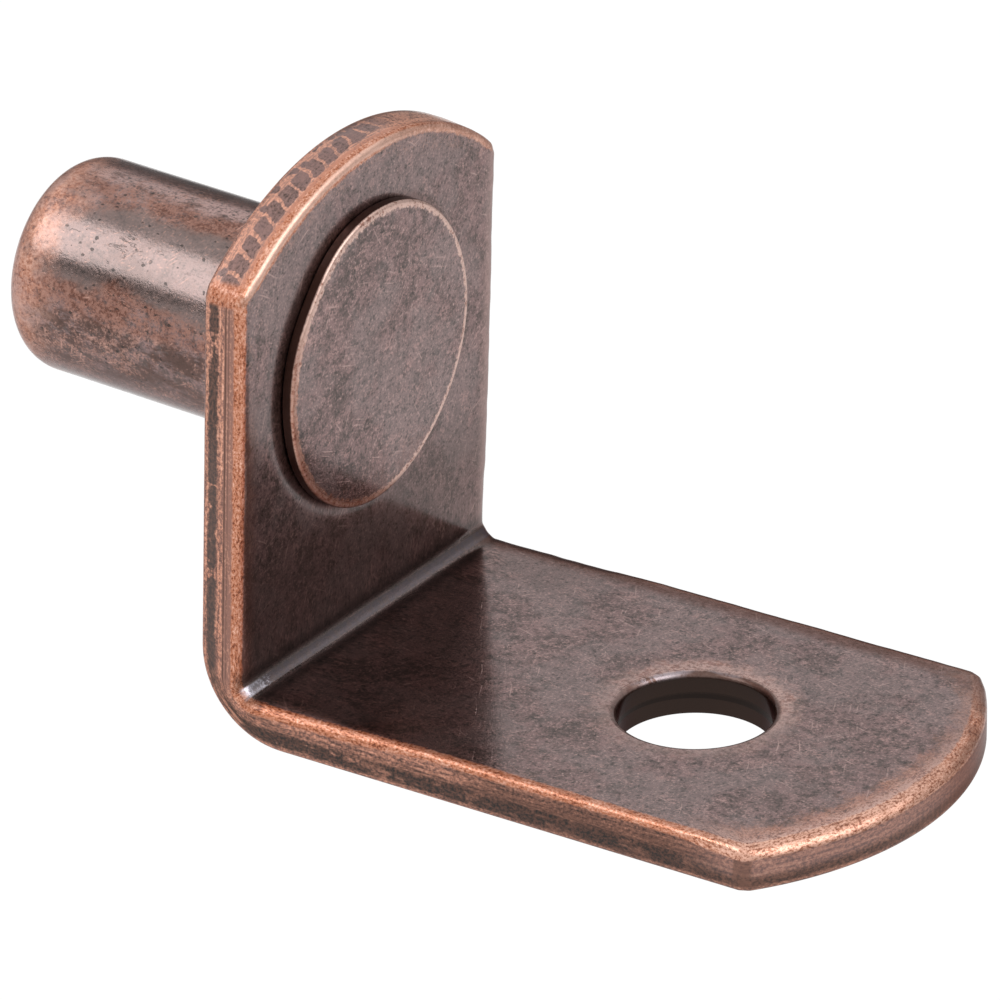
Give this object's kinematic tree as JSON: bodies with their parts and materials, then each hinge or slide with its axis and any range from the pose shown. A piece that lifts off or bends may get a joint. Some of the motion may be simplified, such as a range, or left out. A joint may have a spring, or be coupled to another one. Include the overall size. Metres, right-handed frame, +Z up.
{
  "type": "shelf support pin",
  "caption": "L-shaped folded steel shelf support with a round pin riveted through its leg, which plugs into a cabinet side, and a screw hole in the arm that the shelf rests on.",
  "frame": {"origin": "where the pin's axis meets the back face of the leg, in the plane of the panel that the pin plugs into", "axes": "+Z up, -X along the pin into the panel, +X the way the arm reaches out under the shelf, +Y across the strip"},
  "size_m": [0.0299, 0.0126, 0.0161],
  "materials": {
    "bracket": "copper plate darkened to brown-black and rubbed back to bright copper on the edges, satin",
    "pin": "copper plate darkened to brown-black and rubbed back in patches, satin"
  },
  "bodies": {
    "root": {"bracket": "bracket", "pin": "pin"}
  },
  "joints": []
}
